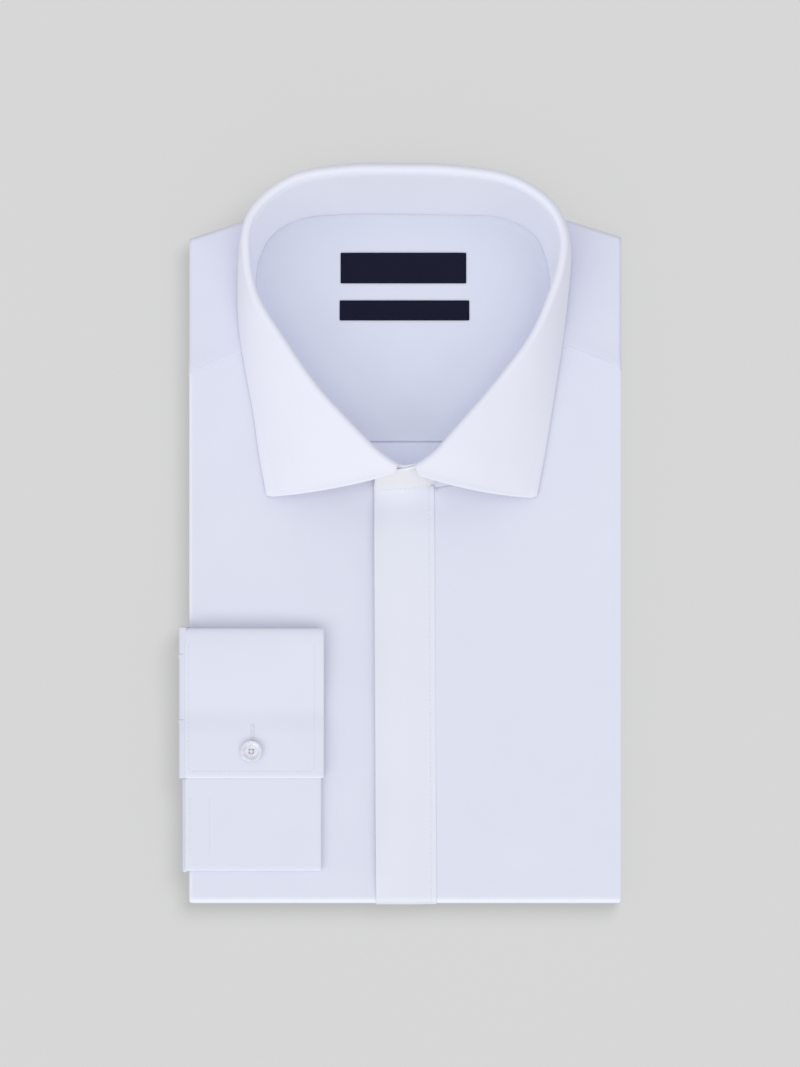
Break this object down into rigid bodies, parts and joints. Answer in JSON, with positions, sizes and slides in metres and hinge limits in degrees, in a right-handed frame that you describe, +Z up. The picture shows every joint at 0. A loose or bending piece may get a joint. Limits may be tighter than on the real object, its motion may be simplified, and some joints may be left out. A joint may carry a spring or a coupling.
{
  "type": "folded long sleeve dress shirt",
  "caption": "Folded long sleeve dress shirt lying flat, with a standing spread collar, fly placket, inner yoke with blank labels, and a buttoned cuff turned on to the front.",
  "frame": {"origin": "centre of the bounding box, on the surface the shirt lies on", "axes": "+Y from the bottom fold to the collar, +X to the wearer's left (the right of the picture), +Z up from the surface"},
  "size_m": [0.2304, 0.3873, 0.0496],
  "materials": {
    "shirting": "pressed fine white cotton poplin, matt with a very slight sheen",
    "stiffened_shirting": "interlined white cotton poplin, flat and crisp",
    "label_weave": "dense navy satin weave, blank",
    "button_pearl": "polished, pearly off-white"
  },
  "bodies": {
    "root": {"front_under": "shirting", "front_over": "shirting", "yoke": "shirting", "fly_placket": "shirting", "folded_layers": "shirting", "yoke_inside": "shirting", "back_inside": "shirting", "label_main": "label_weave", "label_small": "label_weave", "collar_stand": "stiffened_shirting", "collar_leaf": "stiffened_shirting", "cuff": "stiffened_shirting", "sleeve_under": "shirting", "sleeve_upper": "shirting", "cuff_button": "button_pearl"}
  },
  "joints": []
}
